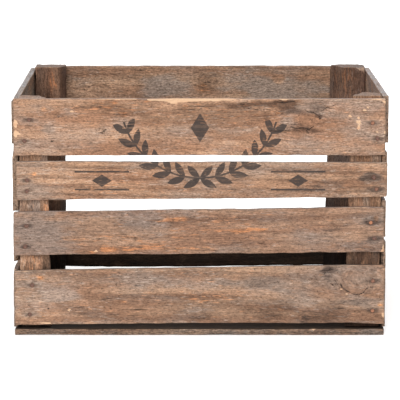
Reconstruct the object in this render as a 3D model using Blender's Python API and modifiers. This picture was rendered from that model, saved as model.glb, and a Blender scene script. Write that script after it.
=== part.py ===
"""Wooden apple crate: slatted walls and a slatted floor nailed round four corner posts.

Metres, +Z up. The origin is on the ground under the middle of the crate. +X runs along the length,
and the front wall faces -Y. Every wall is laid out as it is seen from outside the crate, in the frame
of its own empty, which stands in the posts' outer faces: x to the right, y into the crate, z up from
the ground. The front boards cover the ends of the end boards, and the back boards lie between them.
"""

from collections import namedtuple
from math import pi, radians

import bmesh
import bpy
from mathutils import Vector

# Driving dimensions
LENGTH = 0.500          # outside, along X
DEPTH = 0.400           # outside, along Y
HEIGHT = 0.323          # ground to the top of the tallest posts
FIT = 0.0003            # clearance between pieces that touch
LONG_BOARD = 0.0090     # thickness of the front and back boards
END_BOARD = 0.0087      # thickness of the thickest end boards
FLOOR = 0.0090          # thickness of the floor boards
ARRIS = 0.0008          # worn edge of a board
POST_ARRIS = 0.0015     # worn edge of a post

# A flat-head wire nail
NAIL_LENGTH = 0.035
NAIL_POINT = 0.005
NAIL_RADIUS = 0.0012
HEAD_RADIUS = 0.0027
HEAD_THICKNESS = 0.0010
HEAD_SUNK = 0.0002      # how far the head lies below the board's face
HOLE_MOUTH = 0.0020     # how far the tool that cuts a nail's hole stands out of the board's face
NAIL_SIDES = 12

# The posts' outer faces, which the wall boards lie against
POST_X = LENGTH / 2 - END_BOARD - FIT
POST_Y = DEPTH / 2 - LONG_BOARD - FIT
ON_FLOOR = FLOOR + FIT  # the posts and the lowest end boards stand on the floor boards

# A wall board: where its two ends are along the wall, and the heights of its lower and upper edges at
# its start and at its end. The boards were sawn and nailed a little out of true.
Board = namedtuple("Board", "start end edges_at_start edges_at_end thickness", defaults=[LONG_BOARD])

FRONT_WALL = {
    "front_board_1": Board(-0.2470, 0.2455, (0.2430, 0.3190), (0.2430, 0.3190)),
    "front_board_2": Board(-0.2440, 0.2485, (0.1830, 0.2350), (0.1870, 0.2340)),
    "front_board_3": Board(-0.2485, 0.2450, (0.1085, 0.1670), (0.1130, 0.1740)),
    "front_board_4": Board(-0.2480, 0.2465, (0.0135, 0.0880), (0.0155, 0.0960)),
}
BACK_WALL = {
    "back_board_1": Board(-0.2405, 0.2400, (0.2475, 0.3200), (0.2485, 0.3200)),
    "back_board_2": Board(-0.2395, 0.2405, (0.1890, 0.2395), (0.1890, 0.2405)),
    "back_board_3": Board(-0.2400, 0.2390, (0.1250, 0.1740), (0.1250, 0.1750)),
    "back_board_4": Board(-0.2405, 0.2400, (0.0235, 0.1015), (0.0195, 0.0975)),
}
END_FRONT = POST_Y                  # an end board stops behind the front boards
END_BACK = DEPTH / 2                # and is flush with the back boards
LEFT_WALL = {
    "left_board_1": Board(-END_BACK, END_FRONT, (0.2580, 0.3160), (0.2575, 0.3150), END_BOARD),
    "left_board_2": Board(-END_BACK, END_FRONT, (0.1680, 0.2460), (0.1665, 0.2455), 0.0082),
    "left_board_3": Board(-END_BACK, END_FRONT, (0.0990, 0.1535), (0.0980, 0.1520), 0.0080),
    "left_board_4": Board(-END_BACK, END_FRONT, (ON_FLOOR, 0.0875), (ON_FLOOR, 0.0870), 0.0085),
}
RIGHT_WALL = {
    "right_board_1": Board(-END_FRONT, END_BACK, (0.2585, 0.3215), (0.2580, 0.3165), END_BOARD),
    "right_board_2": Board(-END_FRONT, END_BACK, (0.1865, 0.2470), (0.1870, 0.2475), 0.0075),
    "right_board_3": Board(-END_FRONT, END_BACK, (0.1320, 0.1815), (0.1320, 0.1820), 0.0065),
    "right_board_4": Board(-END_FRONT, END_BACK, (ON_FLOOR, 0.1260), (ON_FLOOR, 0.1255), 0.0070),
}

# Nail heads of the front wall, (x, z). Those of the back wall follow a rule, in back_nail_spots.
FRONT_NAILS = {
    "front_board_1": [(-0.2255, 0.2905), (-0.2320, 0.2625), (0.2280, 0.2865), (0.2345, 0.2660)],
    "front_board_2": [(-0.2290, 0.2100), (-0.2295, 0.1955), (0.2305, 0.2135), (0.2340, 0.1980)],
    "front_board_3": [(-0.2305, 0.1485), (-0.2325, 0.1205), (0.2270, 0.1530), (0.2320, 0.1320)],
    "front_board_4": [(-0.2240, 0.0680), (-0.2275, 0.0285), (0.2305, 0.0740), (0.2305, 0.0335)],
}
BACK_NAIL_INSET = 0.0260    # mean distance of a back nail from the outside of the crate's end
BACK_NAIL_HEIGHTS = (0.27, 0.74)    # of the board's width, above its lower edge
NAIL_STAGGER = 0.0045       # nails of a pair are staggered, so that they don't split the board

# The floor boards, front to back: their widths, and where their two ends are along X. The gaps between
# them share what is left of the depth.
FLOOR_WIDTHS = (0.078, 0.072, 0.074, 0.070, 0.074)
FLOOR_ENDS = ((-0.2480, 0.2465), (-0.2470, 0.2480), (-0.2475, 0.2460), (-0.2480, 0.2470), (-0.2465, 0.2480))

# A post: which corner it stands in (-1 is left or front), its width along X at the foot and at the top,
# its depth along Y, how much of its inner corner is waned along X and Y, and its drop below HEIGHT.
Post = namedtuple("Post", "side face foot_width top_width depth wane_x wane_y drop")
POSTS = {
    "post_front_left": Post(-1, -1, 0.0430, 0.0375, 0.030, 0.014, 0.026, 0.0032),
    "post_front_right": Post(1, -1, 0.0485, 0.0400, 0.040, 0.020, 0.034, 0.0006),
    "post_back_left": Post(-1, 1, 0.0415, 0.0445, 0.040, 0.007, 0.020, 0.0),
    "post_back_right": Post(1, 1, 0.0585, 0.0490, 0.040, 0.020, 0.032, 0.0),
}

# Base colours of the weathered wood and of the rusted nails
BOARD_BROWN = (0.36, 0.23, 0.155)
INNER_BROWN = (0.25, 0.165, 0.115)
POST_BROWN = (0.21, 0.13, 0.085)
FLOOR_BROWN = (0.19, 0.135, 0.10)
RUST = (0.11, 0.055, 0.04)


def clear_scene():
    for ob in list(bpy.data.objects):
        bpy.data.objects.remove(ob, do_unlink=True)


def new_collection(name):
    collection = bpy.data.collections.new(name)
    bpy.context.scene.collection.children.link(collection)
    return collection


def new_material(name, colour, roughness, metallic=0.0):
    material = bpy.data.materials.new(name)
    material.use_nodes = True
    shader = material.node_tree.nodes["Principled BSDF"]
    shader.inputs["Base Color"].default_value = (*colour, 1.0)
    shader.inputs["Roughness"].default_value = roughness
    shader.inputs["Metallic"].default_value = metallic
    return material


def add_object(name, mesh, collection, parent=None):
    ob = bpy.data.objects.new(name, mesh)
    ob.parent = parent
    collection.objects.link(ob)
    return ob


def add_empty(name, collection, location, turn):
    """An empty that carries one wall: its x axis runs along the wall and its y axis into the crate."""
    empty = bpy.data.objects.new(name, None)
    empty.location = location
    empty.rotation_euler = (0.0, 0.0, turn)
    collection.objects.link(empty)
    return empty


def add_bevel(ob, width):
    bevel = ob.modifiers.new("arris", "BEVEL")
    bevel.width = width
    bevel.segments = 1
    bevel.limit_method = "ANGLE"


def mesh_from(bm, name):
    bmesh.ops.recalc_face_normals(bm, faces=bm.faces)
    mesh = bpy.data.meshes.new(name)
    bm.to_mesh(mesh)
    bm.free()
    return mesh


def tapered_board_mesh(name, board):
    """A sawn board whose edges may run a little out of level, from a cube."""
    bm = bmesh.new()
    bmesh.ops.create_cube(bm, size=1.0)
    for vert in bm.verts:
        edges = board.edges_at_start if vert.co.x < 0 else board.edges_at_end
        along = board.start if vert.co.x < 0 else board.end
        inward = -FIT - board.thickness if vert.co.y < 0 else -FIT
        height = edges[0] if vert.co.z < 0 else edges[1]
        vert.co = (along, inward, height)
    return mesh_from(bm, name)


def floor_board_mesh(name, ends, front, width):
    """A level board of the floor, from a cube."""
    bm = bmesh.new()
    bmesh.ops.create_cube(bm, size=1.0)
    size = (ends[1] - ends[0], width, FLOOR)
    centre = ((ends[0] + ends[1]) / 2, front + width / 2, FLOOR / 2)
    bmesh.ops.scale(bm, vec=size, verts=bm.verts)
    bmesh.ops.translate(bm, vec=centre, verts=bm.verts)
    return mesh_from(bm, name)


def post_mesh(name, post):
    """A square post from a cube, with its inner corner cut back by one sloping plane."""
    outer_x = post.side * POST_X
    outer_y = post.face * POST_Y
    inner_y = outer_y - post.face * post.depth
    top = HEIGHT - post.drop
    inner_x_foot = outer_x - post.side * post.foot_width
    inner_x_top = outer_x - post.side * post.top_width
    bm = bmesh.new()
    bmesh.ops.create_cube(bm, size=1.0)
    for vert in bm.verts:
        is_top = vert.co.z > 0
        inner_x = inner_x_top if is_top else inner_x_foot
        x = outer_x if vert.co.x * post.side > 0 else inner_x
        y = outer_y if vert.co.y * post.face > 0 else inner_y
        vert.co = (x, y, top if is_top else ON_FLOOR)
    on_inner_face = Vector((inner_x_foot, inner_y + post.face * post.wane_y, ON_FLOOR))
    above_it = Vector((inner_x_top, inner_y + post.face * post.wane_y, top))
    on_crate_face = Vector((inner_x_foot + post.side * post.wane_x, inner_y, ON_FLOOR))
    normal = (on_crate_face - on_inner_face).cross(above_it - on_inner_face).normalized()
    inward = Vector((-post.side, -post.face, 0.0))
    if normal.dot(inward) < 0:
        normal.negate()
    cut = bmesh.ops.bisect_plane(
        bm,
        geom=bm.verts[:] + bm.edges[:] + bm.faces[:],
        plane_co=on_inner_face,
        plane_no=normal,
        clear_outer=True,
    )
    cut_edges = [item for item in cut["geom_cut"] if isinstance(item, bmesh.types.BMEdge)]
    bmesh.ops.edgeloop_fill(bm, edges=cut_edges)
    return mesh_from(bm, name)


def turned_mesh(name, profile, collection):
    """Turn a profile of (radius, height) points about Z and return the mesh."""
    mesh = bpy.data.meshes.new(name + "_profile")
    points = [(radius, 0.0, height) for radius, height in profile]
    edges = [(i, i + 1) for i in range(len(points) - 1)]
    mesh.from_pydata(points, edges, [])
    blank = add_object(name + "_profile", mesh, collection)
    screw = blank.modifiers.new("turn", "SCREW")
    screw.axis = "Z"
    screw.steps = NAIL_SIDES
    screw.render_steps = NAIL_SIDES
    screw.use_merge_vertices = True
    screw.merge_threshold = 0.00001
    evaluated = blank.evaluated_get(bpy.context.evaluated_depsgraph_get())
    turned = bpy.data.meshes.new_from_object(evaluated)
    turned.name = name
    bpy.data.objects.remove(blank, do_unlink=True)
    turned.shade_smooth()
    turned.set_sharp_from_angle(angle=radians(30))
    return turned


def nail_profile():
    return [
        (0.0, 0.0),
        (HEAD_RADIUS, 0.0),
        (HEAD_RADIUS, -HEAD_THICKNESS),
        (NAIL_RADIUS, -HEAD_THICKNESS),
        (NAIL_RADIUS, NAIL_POINT - NAIL_LENGTH),
        (0.0, -NAIL_LENGTH),
    ]


def nail_hole_profile():
    """The nail's own outline with FIT all round, carried up through the board's face."""
    return [
        (0.0, HOLE_MOUTH),
        (HEAD_RADIUS + FIT, HOLE_MOUTH),
        (HEAD_RADIUS + FIT, -HEAD_THICKNESS - FIT),
        (NAIL_RADIUS + FIT, -HEAD_THICKNESS - FIT),
        (NAIL_RADIUS + FIT, NAIL_POINT - NAIL_LENGTH),
        (0.0, -NAIL_LENGTH - 2 * FIT),
    ]


def back_nail_spots(board):
    """Two nails at each end of a board, one above the other."""
    spots = []
    for side, (low, high) in ((-1, board.edges_at_start), (1, board.edges_at_end)):
        middle = side * (LENGTH / 2 - BACK_NAIL_INSET)
        for stagger, share in zip((-NAIL_STAGGER, NAIL_STAGGER), BACK_NAIL_HEIGHTS):
            spots.append((middle + stagger, low + share * (high - low)))
    return spots


def place_in_wall(ob, spot):
    """Lay a turned piece in a long board's face, its head outwards."""
    ob.location = (spot[0], HEAD_SUNK - LONG_BOARD - FIT, spot[1])
    ob.rotation_euler = (pi / 2, 0.0, 0.0)


def drill(target, cutter):
    cut = target.modifiers.new("hole", "BOOLEAN")
    cut.operation = "DIFFERENCE"
    cut.solver = "EXACT"
    cut.object = cutter


def build_wall(boards, empty, collection, material):
    """Add a wall's boards and return them by name."""
    made = {}
    for name, board in boards.items():
        ob = add_object(name, tapered_board_mesh(name, board), collection, empty)
        ob.data.materials.append(material)
        add_bevel(ob, ARRIS)
        made[name] = ob
    return made


def nail_board(board_ob, spots, posts, meshes, collections):
    """Nail one board to its left and right posts, with a clearance hole round each nail."""
    for number, spot in enumerate(spots, start=1):
        name = f"nail_{board_ob.name}_{number}"
        nail = add_object(name, meshes["nail"], collections["crate"], board_ob.parent)
        place_in_wall(nail, spot)
        cutter = add_object(name + "_hole", meshes["hole"], collections["cutters"], board_ob.parent)
        place_in_wall(cutter, spot)
        cutter.hide_render = True
        cutter.display_type = "WIRE"
        post = posts["start"] if spot[0] < 0 else posts["end"]
        drill(board_ob, cutter)
        drill(post, cutter)


def build_posts(collection, material):
    made = {}
    for name, post in POSTS.items():
        ob = add_object(name, post_mesh(name, post), collection)
        ob.data.materials.append(material)
        add_bevel(ob, POST_ARRIS)
        made[name] = ob
    return made


def build_floor(collection, material):
    gap = (DEPTH - sum(FLOOR_WIDTHS)) / (len(FLOOR_WIDTHS) - 1)
    front = -DEPTH / 2
    for number, (ends, width) in enumerate(zip(FLOOR_ENDS, FLOOR_WIDTHS), start=1):
        name = f"floor_board_{number}"
        ob = add_object(name, floor_board_mesh(name, ends, front, width), collection)
        ob.data.materials.append(material)
        add_bevel(ob, ARRIS)
        front += width + gap


def build_crate():
    clear_scene()
    collections = {"crate": new_collection("wooden_apple_crate"), "cutters": new_collection("cutters")}
    crate = collections["crate"]
    board_wood = new_material("board_wood", BOARD_BROWN, 0.85)
    inner_wood = new_material("inner_wood", INNER_BROWN, 0.9)
    post_wood = new_material("post_wood", POST_BROWN, 0.85)
    floor_wood = new_material("floor_wood", FLOOR_BROWN, 0.9)
    rust = new_material("rusted_iron", RUST, 0.8, 0.4)

    posts = build_posts(crate, post_wood)
    front = add_empty("front_wall", crate, (0.0, -POST_Y, 0.0), 0.0)
    back = add_empty("back_wall", crate, (0.0, POST_Y, 0.0), pi)
    left = add_empty("left_wall", crate, (-POST_X, 0.0, 0.0), -pi / 2)
    right = add_empty("right_wall", crate, (POST_X, 0.0, 0.0), pi / 2)
    front_boards = build_wall(FRONT_WALL, front, crate, board_wood)
    back_boards = build_wall(BACK_WALL, back, crate, inner_wood)
    build_wall(LEFT_WALL, left, crate, board_wood)
    build_wall(RIGHT_WALL, right, crate, board_wood)
    build_floor(crate, floor_wood)

    meshes = {
        "nail": turned_mesh("nail", nail_profile(), crate),
        "hole": turned_mesh("nail_hole", nail_hole_profile(), crate),
    }
    meshes["nail"].materials.append(rust)
    front_posts = {"start": posts["post_front_left"], "end": posts["post_front_right"]}
    back_posts = {"start": posts["post_back_right"], "end": posts["post_back_left"]}
    for name, ob in front_boards.items():
        nail_board(ob, FRONT_NAILS[name], front_posts, meshes, collections)
    for name, ob in back_boards.items():
        nail_board(ob, back_nail_spots(BACK_WALL[name]), back_posts, meshes, collections)


build_crate()
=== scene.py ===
"""The looks of the wooden apple crate: worn boards and posts and rusty nails, built round the CAD model.

Metres, +Z up, in the CAD model's frame. Each wooden piece is an outline carried along its grain and then
worn: relief along the fibres, broken arrises, ragged ends, splits and nail dimples. What the wood's
shader has to know about a place, such as how the fibres run round a knot, is stored on the vertices.
"""

from collections import namedtuple
from math import cos, pi, radians, sin, tau

import bmesh
import bpy
import numpy as np
from mathutils import Matrix, Vector
from mathutils.geometry import convex_hull_2d


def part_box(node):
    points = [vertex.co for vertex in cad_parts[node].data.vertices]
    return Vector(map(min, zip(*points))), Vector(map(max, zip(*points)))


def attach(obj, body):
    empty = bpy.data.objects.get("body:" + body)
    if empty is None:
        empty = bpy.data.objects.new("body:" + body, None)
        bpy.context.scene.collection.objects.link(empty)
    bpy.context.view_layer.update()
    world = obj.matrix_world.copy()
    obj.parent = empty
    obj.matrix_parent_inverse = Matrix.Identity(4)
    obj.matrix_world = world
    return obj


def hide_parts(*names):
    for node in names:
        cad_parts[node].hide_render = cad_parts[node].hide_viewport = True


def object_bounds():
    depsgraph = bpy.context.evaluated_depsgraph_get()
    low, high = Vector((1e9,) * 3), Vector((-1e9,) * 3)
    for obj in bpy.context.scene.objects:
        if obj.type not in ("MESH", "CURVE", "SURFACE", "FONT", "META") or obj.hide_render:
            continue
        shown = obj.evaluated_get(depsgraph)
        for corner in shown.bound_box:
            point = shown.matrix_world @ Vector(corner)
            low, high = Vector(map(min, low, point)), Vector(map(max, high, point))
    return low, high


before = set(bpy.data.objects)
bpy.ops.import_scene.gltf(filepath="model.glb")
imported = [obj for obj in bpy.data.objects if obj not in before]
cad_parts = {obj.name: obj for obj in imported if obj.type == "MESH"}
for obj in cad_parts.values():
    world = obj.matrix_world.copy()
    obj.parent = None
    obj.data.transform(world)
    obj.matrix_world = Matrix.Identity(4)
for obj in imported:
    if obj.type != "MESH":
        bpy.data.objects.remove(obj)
cad_low, cad_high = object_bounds()

MM = 0.001

# The corners of a square, counter-clockwise
SQUARE = ((-1, -1), (1, -1), (1, 1), (-1, 1))

# The walls, as (along the boards, across them, out of the crate). Boards are laid out in these axes.
WALLS = {
    "front": ((1, 0, 0), (0, 0, 1), (0, -1, 0)),
    "back": ((-1, 0, 0), (0, 0, 1), (0, 1, 0)),
    "left": ((0, -1, 0), (0, 0, 1), (-1, 0, 0)),
    "right": ((0, 1, 0), (0, 0, 1), (1, 0, 0)),
    "floor": ((1, 0, 0), (0, 1, 0), (0, 0, 1)),
    "post": ((0, 0, 1), (1, 0, 0), (0, 1, 0)),
}

# Distance between the vertices of a piece's surface, and how far its arrises are rounded
FINE = 1.6 * MM
COARSE = 2.6 * MM
BOARD_ARRIS = 1.3 * MM
POST_ARRIS = 2.2 * MM

# The inside of the crate is drawn darker with painted shade up to this height, and fades to none at the
# other
PAINTED_SHADE_FROM = 0.055
PAINTED_SHADE_TO = 0.170

# Painted shade darkens the posts' feet up to this height, and fades to none at the other
FOOT_SHADE_FROM = 0.012
FOOT_SHADE_TO = 0.030

# How fresh the wood is on the upper arrises, partly rubbed wear and partly a painted highlight, and where
# corners have broken off
ARRIS_WEAR_AND_HIGHLIGHT = 0.45
BOARD_BREAK_FRESHNESS = 0.50
POST_BREAK_FRESHNESS = 0.45

# How much darker and greyer the iron of the nails has stained the wood, and how much end grain shows on
# a post against a board
IRON_DARKENING = 1.2
IRON_GREYING = 0.7
POST_END_GRAIN = 0.2

# Relief of the weathered surface
FIBRE_RELIEF = 0.24 * MM
HOLLOW_RELIEF = 0.15 * MM
SAW_RELIEF = 0.04 * MM
SAW_PITCH = 4.2 * MM
SPLINTER_DEPTH = 1.6 * MM
RAGGED_DEPTH = 0.7 * MM
BREAK_ROUGHNESS = 1.1 * MM
CHIP_DEPTH = 0.7 * MM
CRACK_DEPTH = 0.4 * MM
DIMPLE_DEPTH = 0.4 * MM
EDGE_WANDER = 0.35 * MM

# Where in its log a board was sawn: depth and offset of the pith, and the spacing of the rings
PITH_DEPTH = (0.018, 0.060)
PITH_OFFSET = 0.020
RIFT_OFFSET = 0.080
RING_SPACING = (2.8 * MM, 4.2 * MM)

# A knot's length over its height and how uneven its outline is, and how long and how gentle the detour is
# that the fibres make round it
KNOT_STRETCH = 1.2
KNOT_UNEVENNESS = 0.28
DETOUR_STRETCH = 1.6
DETOUR_EASE = 1.4

# Chance wear: how many knots at most and their radii, how many patches, and the least and the most of
# their (length, height) and of their (shade, warmth)
MOST_KNOTS = 2
KNOT_RADIUS = (5 * MM, 13 * MM)
CHANCE_PATCHES = 9
PATCH_SIZE = ((0.03, 0.008), (0.16, 0.04))
PATCH_LOOK = ((-0.7, -1.1), (0.6, 1.4))

# How a board's tint varies about its wall's: darkest and lightest, and how much warmer or greyer
TINT_LIGHTNESS = (0.85, 1.12)
TINT_WARMTH = 0.04

# How silvery the sun has made the tops of a wall's boards, where less than on the end walls
BLEACH = {"front": 0.45, "post": 0.35}

# Knots of boards whose patches are listed below: (x, z, radius). The other boards' are drawn by chance.
KNOTS = {
    "front_board_1": [(0.141, 0.293, 0.0100), (0.130, 0.270, 0.0090), (-0.125, 0.275, 0.0050)],
    "front_board_4": [(0.209, 0.077, 0.0215), (0.176, 0.0695, 0.0030)],
    "back_board_1": [(-0.012, 0.296, 0.0110), (-0.116, 0.298, 0.0055), (0.150, 0.285, 0.0090)],
}

# Patches of a piece's visible face: place along and across it, length, height, how much paler (+) or
# darker (-) and how much more orange (+) or greyer (-) the wood is there
Patch = namedtuple("Patch", "x z length height shade warmth")
PATCHES = {
    "front_board_1": [
        Patch(-0.200, 0.275, 0.120, 0.090, 0.25, -0.15),
        Patch(0.020, 0.302, 0.300, 0.046, -0.55, 0.70),
        Patch(0.085, 0.311, 0.110, 0.010, -0.80, 0.60),
        Patch(-0.140, 0.306, 0.070, 0.020, -0.20, 0.60),
        Patch(-0.184, 0.296, 0.024, 0.009, -0.70, 0.40),
        Patch(-0.200, 0.278, 0.018, 0.009, -0.60, -0.60),
        Patch(-0.206, 0.305, 0.006, 0.005, 0.20, 1.80),
        Patch(0.153, 0.308, 0.030, 0.014, -0.50, -0.50),
        Patch(0.146, 0.300, 0.044, 0.010, -0.50, -0.50),
        Patch(0.128, 0.283, 0.044, 0.010, -0.55, -0.30),
        Patch(0.135, 0.306, 0.050, 0.014, -0.30, -0.60),
        Patch(0.160, 0.296, 0.018, 0.007, -0.80, -0.20),
        Patch(0.142, 0.277, 0.030, 0.009, -0.75, -0.20),
        Patch(0.115, 0.288, 0.030, 0.016, 0.20, -1.20),
        Patch(0.140, 0.262, 0.060, 0.016, 0.30, -0.60),
        Patch(0.080, 0.262, 0.060, 0.020, -0.10, 0.70),
        Patch(0.215, 0.285, 0.070, 0.080, 0.25, -0.30),
    ],
    "front_board_2": [
        Patch(-0.150, 0.214, 0.230, 0.036, 0.45, 0.40),
        Patch(-0.225, 0.197, 0.050, 0.020, 0.35, -1.10),
        Patch(-0.219, 0.219, 0.006, 0.004, 0.00, 1.60),
        Patch(-0.100, 0.198, 0.140, 0.016, -0.10, 0.60),
        Patch(0.170, 0.206, 0.220, 0.070, -0.42, 0.05),
        Patch(0.227, 0.215, 0.026, 0.010, -0.05, -0.80),
    ],
    "front_board_3": [
        Patch(-0.215, 0.140, 0.080, 0.060, 0.15, -0.80),
        Patch(-0.110, 0.122, 0.140, 0.020, -0.10, 0.80),
        Patch(0.020, 0.145, 0.160, 0.036, -0.05, 0.90),
        Patch(-0.045, 0.118, 0.100, 0.009, 0.00, 1.30),
        Patch(-0.060, 0.150, 0.060, 0.020, 0.15, -0.60),
        Patch(0.150, 0.130, 0.100, 0.030, 0.00, -0.40),
        Patch(0.170, 0.140, 0.160, 0.080, -0.20, 0.10),
        Patch(0.228, 0.157, 0.020, 0.008, -0.20, -0.60),
        Patch(0.234, 0.158, 0.005, 0.006, 0.00, 2.00),
        Patch(0.232, 0.130, 0.026, 0.008, -0.10, -0.70),
        Patch(-0.123, 0.117, 0.024, 0.009, 0.35, 1.60),
        Patch(-0.095, 0.116, 0.016, 0.005, 0.10, 1.40),
        Patch(-0.145, 0.113, 0.016, 0.005, 0.10, 1.50),
        Patch(-0.160, 0.131, 0.040, 0.005, 0.20, 1.20),
        Patch(-0.130, 0.135, 0.040, 0.005, 0.20, 1.10),
        Patch(-0.040, 0.156, 0.050, 0.006, 0.10, 1.20),
        Patch(0.064, 0.143, 0.050, 0.006, 0.10, 1.20),
    ],
    "front_board_4": [
        Patch(-0.195, 0.040, 0.120, 0.050, 0.55, 0.20),
        Patch(-0.190, 0.056, 0.050, 0.016, 0.20, -1.20),
        Patch(-0.120, 0.035, 0.100, 0.030, 0.30, 0.30),
        Patch(-0.213, 0.078, 0.008, 0.005, 0.00, 1.70),
        Patch(-0.105, 0.0455, 0.014, 0.005, -0.30, 1.50),
        Patch(-0.210, 0.026, 0.008, 0.004, -0.20, 2.00),
        Patch(0.040, 0.080, 0.160, 0.024, -0.05, 0.40),
        Patch(0.013, 0.055, 0.100, 0.018, 0.00, 1.00),
        Patch(0.080, 0.074, 0.080, 0.020, -0.30, -0.90),
        Patch(0.090, 0.030, 0.240, 0.034, -0.40, 0.40),
        Patch(0.170, 0.089, 0.024, 0.013, -1.10, -0.40),
        Patch(0.209, 0.077, 0.038, 0.034, 0.10, -0.10),
        Patch(0.215, 0.046, 0.060, 0.012, -0.30, -0.80),
        Patch(0.180, 0.050, 0.220, 0.100, -0.25, -0.20),
        Patch(0.241, 0.0420, 0.008, 0.006, 0.20, 2.40),
        Patch(0.205, 0.052, 0.030, 0.007, 0.40, -0.20),
    ],
    "back_board_1": [
        Patch(-0.012, 0.302, 0.044, 0.040, -0.45, 0.40),
        Patch(-0.006, 0.288, 0.020, 0.012, -0.20, 1.20),
        Patch(-0.116, 0.300, 0.016, 0.014, -0.20, 1.20),
        Patch(0.110, 0.305, 0.120, 0.030, 0.00, 0.40),
        Patch(0.050, 0.290, 0.060, 0.030, 0.20, -1.00),
        Patch(-0.120, 0.285, 0.140, 0.030, 0.20, -0.90),
    ],
    "post_front_right": [
        Patch(0.104, 0.224, 0.034, 0.080, -1.00, 0.30),
        Patch(0.103, 0.212, 0.018, 0.012, -0.50, 0.30),
        Patch(0.112, 0.236, 0.020, 0.010, -0.50, -0.40),
        Patch(0.180, 0.232, 0.020, 0.012, -0.30, 0.40),
        Patch(0.178, 0.215, 0.024, 0.012, 0.20, 0.20),
        Patch(0.238, 0.218, 0.024, 0.020, -0.20, 0.50),
    ],
    "post_back_left": [
        Patch(0.305, -0.215, 0.030, 0.012, 0.50, 1.60),
        Patch(0.290, -0.208, 0.024, 0.010, 0.30, 1.20),
        Patch(0.280, -0.222, 0.030, 0.010, -0.60, 0.50),
    ],
}

# Splits along a board's edge: which edge, how deep they bite, and (x, how far down the face) along them
Split = namedtuple("Split", "edge bite spots")
SPLITS = {
    "front_board_1": [
        Split("top", 0.0030, [(-0.165, 0.0), (-0.120, 0.0016), (-0.085, 0.0014), (-0.048, 0.0040),
                              (-0.036, 0.0085), (-0.022, 0.0055), (0.000, 0.0040), (0.030, 0.0032),
                              (0.060, 0.0020), (0.085, 0.0)]),
        Split("top", 0.0020, [(0.095, 0.0), (0.110, 0.0022), (0.135, 0.0006), (0.150, 0.0)]),
        Split("top", 0.0015, [(0.215, 0.0), (0.232, 0.0030), (0.2455, 0.0012)]),
        Split("top", 0.0010, [(-0.244, 0.0), (-0.232, 0.0012), (-0.205, 0.0)]),
    ],
    "front_board_3": [
        Split("bottom", 0.0020, [(-0.150, 0.0), (-0.110, 0.0010), (-0.080, 0.0006), (-0.060, 0.0)]),
    ],
    "front_board_4": [
        Split("bottom", 0.0012, [(-0.222, 0.0), (-0.206, 0.0014), (-0.185, 0.0)]),
    ],
    "floor_board_1": [
        Split("bottom", 0.0022, [(0.146, 0.0), (0.152, 0.0018), (0.157, 0.0)]),
    ],
}

# Chips out of a board's face that show fresh wood: place, length and height
Chip = namedtuple("Chip", "x z length height")
CHIPS = {
    "front_board_1": [
        Chip(-0.2440, 0.2850, 0.0050, 0.0090), Chip(-0.2434, 0.2722, 0.0065, 0.0065),
        Chip(0.2175, 0.3036, 0.0050, 0.0020), Chip(0.2223, 0.3073, 0.0060, 0.0020),
        Chip(0.2425, 0.3150, 0.0060, 0.0030), Chip(0.2445, 0.2740, 0.0030, 0.0030),
        Chip(0.1982, 0.2951, 0.0040, 0.0030), Chip(0.2090, 0.2930, 0.0030, 0.0040),
        Chip(0.2090, 0.2870, 0.0050, 0.0050), Chip(0.2092, 0.2800, 0.0040, 0.0040),
        Chip(0.2348, 0.2742, 0.0040, 0.0020), Chip(-0.1690, 0.3020, 0.0040, 0.0016),
    ],
    "front_board_3": [
        Chip(-0.1395, 0.1144, 0.0040, 0.0030), Chip(0.2440, 0.1150, 0.0040, 0.0120),
    ],
    "front_board_4": [
        Chip(0.2460, 0.0900, 0.0050, 0.0030), Chip(0.2462, 0.0278, 0.0040, 0.0060),
        Chip(-0.1752, 0.0346, 0.0040, 0.0030), Chip(-0.2060, 0.0165, 0.0140, 0.0016),
        Chip(0.1960, 0.0560, 0.0030, 0.0014), Chip(0.1890, 0.0625, 0.0030, 0.0016),
    ],
}

# Cracks in a board's face: how wide they gape, and (x, z) along them
Crack = namedtuple("Crack", "width route")
CRACKS = {
    "front_board_1": [
        Crack(0.0010, [(0.1057, 0.3139), (0.1167, 0.3143), (0.1240, 0.3150)]),
        Crack(0.0006, [(0.0640, 0.3060), (0.0791, 0.3036), (0.0864, 0.3052)]),
        Crack(0.0006, [(0.0864, 0.3052), (0.1010, 0.3012)]),
        Crack(0.0010, [(0.1200, 0.2812), (0.1278, 0.2791), (0.1363, 0.2802), (0.1437, 0.2779),
                       (0.1500, 0.2822)]),
        Crack(0.0007, [(0.1385, 0.3040), (0.1440, 0.3005), (0.1490, 0.3010), (0.1581, 0.2951)]),
        Crack(0.0005, [(0.1600, 0.3020), (0.1680, 0.3075), (0.1780, 0.3100)]),
        Crack(0.0005, [(0.1400, 0.2770), (0.1437, 0.2730)]),
        Crack(0.0018, [(0.1577, 0.2920), (0.1597, 0.2926)]),
        Crack(0.0016, [(-0.1960, 0.2620), (-0.1945, 0.2626)]),
    ],
    "front_board_4": [
        Crack(0.0010, [(0.1872, 0.0701), (0.1900, 0.0655), (0.1954, 0.0610), (0.2038, 0.0562),
                       (0.2121, 0.0552), (0.2175, 0.0580), (0.2230, 0.0643)]),
        Crack(0.0024, [(0.1748, 0.0702), (0.1775, 0.0684)]),
        Crack(0.0005, [(0.1800, 0.0754), (0.1830, 0.0700), (0.1868, 0.0651)]),
        Crack(0.0006, [(0.1640, 0.0890), (0.1701, 0.0873), (0.1760, 0.0895)]),
        Crack(0.0006, [(0.1660, 0.0840), (0.1701, 0.0873), (0.1730, 0.0920)]),
        Crack(0.0014, [(-0.2030, 0.0362), (-0.2022, 0.0366)]),
    ],
    "back_board_1": [
        Crack(0.0006, [(-0.0200, 0.2930), (-0.0120, 0.2960), (-0.0060, 0.2950)]),
    ],
}

# How far the lower edge of a board rises in the middle, or sags
BOWS = {
    "front_board_4": 0.0018,
    "back_board_4": -0.0031,
    "back_board_2": 0.0010,
    "left_board_4": 0.0015,
}

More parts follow.
